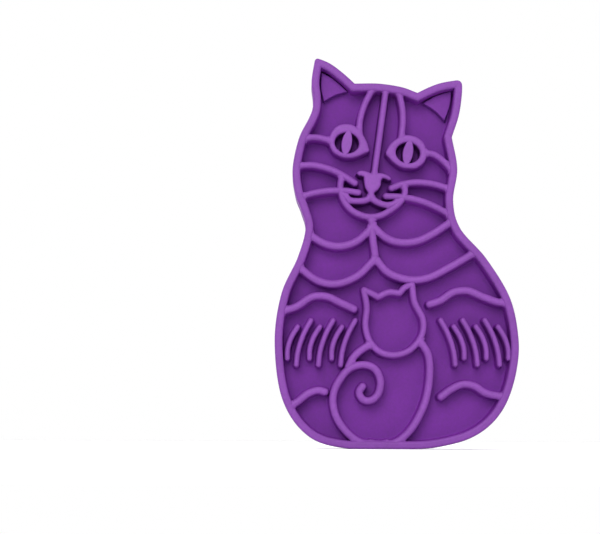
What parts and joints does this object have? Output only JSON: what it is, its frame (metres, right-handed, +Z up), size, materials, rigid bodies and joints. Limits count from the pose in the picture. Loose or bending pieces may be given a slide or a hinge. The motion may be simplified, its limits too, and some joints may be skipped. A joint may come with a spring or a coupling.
{
  "type": "curry comb",
  "caption": "Hand-held moulded rubber curry comb in the shape of a sitting cat, with a raised rib drawing inside a rim on its face and long tapered bristles on its back, for grooming.",
  "frame": {"origin": "on the floor below the middle of the comb's bounding box, with the comb standing on its foot", "axes": "+Z up from the foot to the ears, the relief face looks along -Y, the bristles point along +Y, +X is the viewer's right when facing the face"},
  "size_m": [0.0683, 0.0316, 0.1103],
  "materials": {
    "body_rubber": "satin, fine moulded grain",
    "relief_rubber": "satin, fine moulded grain",
    "bristle_rubber": "satin, smooth"
  },
  "bodies": {
    "root": {"back_plate": "body_rubber", "rim_wall": "body_rubber", "ear_pad_left": "relief_rubber", "ear_pad_right": "relief_rubber", "forehead_stripe_left": "relief_rubber", "forehead_stripe_centre": "relief_rubber", "forehead_stripe_right": "relief_rubber", "eye_ring_left": "relief_rubber", "eye_ring_right": "relief_rubber", "pupil_left": "relief_rubber", "pupil_right": "relief_rubber", "temple_rib_left": "relief_rubber", "temple_rib_right": "relief_rubber", "whisker_upper_left": "relief_rubber", "whisker_upper_right": "relief_rubber", "whisker_lower_left": "relief_rubber", "whisker_lower_right": "relief_rubber", "nose": "relief_rubber", "upper_lip": "relief_rubber", "muzzle_rib": "relief_rubber", "chest_centre_rib": "relief_rubber", "chest_scallop_upper_left": "relief_rubber", "chest_scallop_upper_right": "relief_rubber", "chest_scallop_lower_left": "relief_rubber", "chest_scallop_lower_right": "relief_rubber", "kitten_head": "relief_rubber", "kitten_body": "relief_rubber", "kitten_tail": "relief_rubber", "flank_wave_upper_left": "relief_rubber", "flank_wave_upper_right": "relief_rubber", "flank_wave_lower_left": "relief_rubber", "flank_wave_lower_right": "relief_rubber", "fur_strokes_left": "relief_rubber", "fur_strokes_right": "relief_rubber", "bristle_01": "bristle_rubber", "bristle_02": "bristle_rubber", "bristle_03": "bristle_rubber", "bristle_04": "bristle_rubber", "bristle_05": "bristle_rubber", "bristle_06": "bristle_rubber", "bristle_07": "bristle_rubber", "bristle_08": "bristle_rubber", "bristle_09": "bristle_rubber", "bristle_10": "bristle_rubber", "bristle_11": "bristle_rubber", "bristle_12": "bristle_rubber", "bristle_13": "bristle_rubber", "bristle_14": "bristle_rubber", "bristle_15": "bristle_rubber", "bristle_16": "bristle_rubber", "bristle_17": "bristle_rubber", "bristle_18": "bristle_rubber", "bristle_19": "bristle_rubber", "bristle_20": "bristle_rubber", "bristle_21": "bristle_rubber", "bristle_22": "bristle_rubber", "bristle_23": "bristle_rubber", "bristle_24": "bristle_rubber", "bristle_25": "bristle_rubber", "bristle_26": "bristle_rubber"}
  },
  "joints": []
}
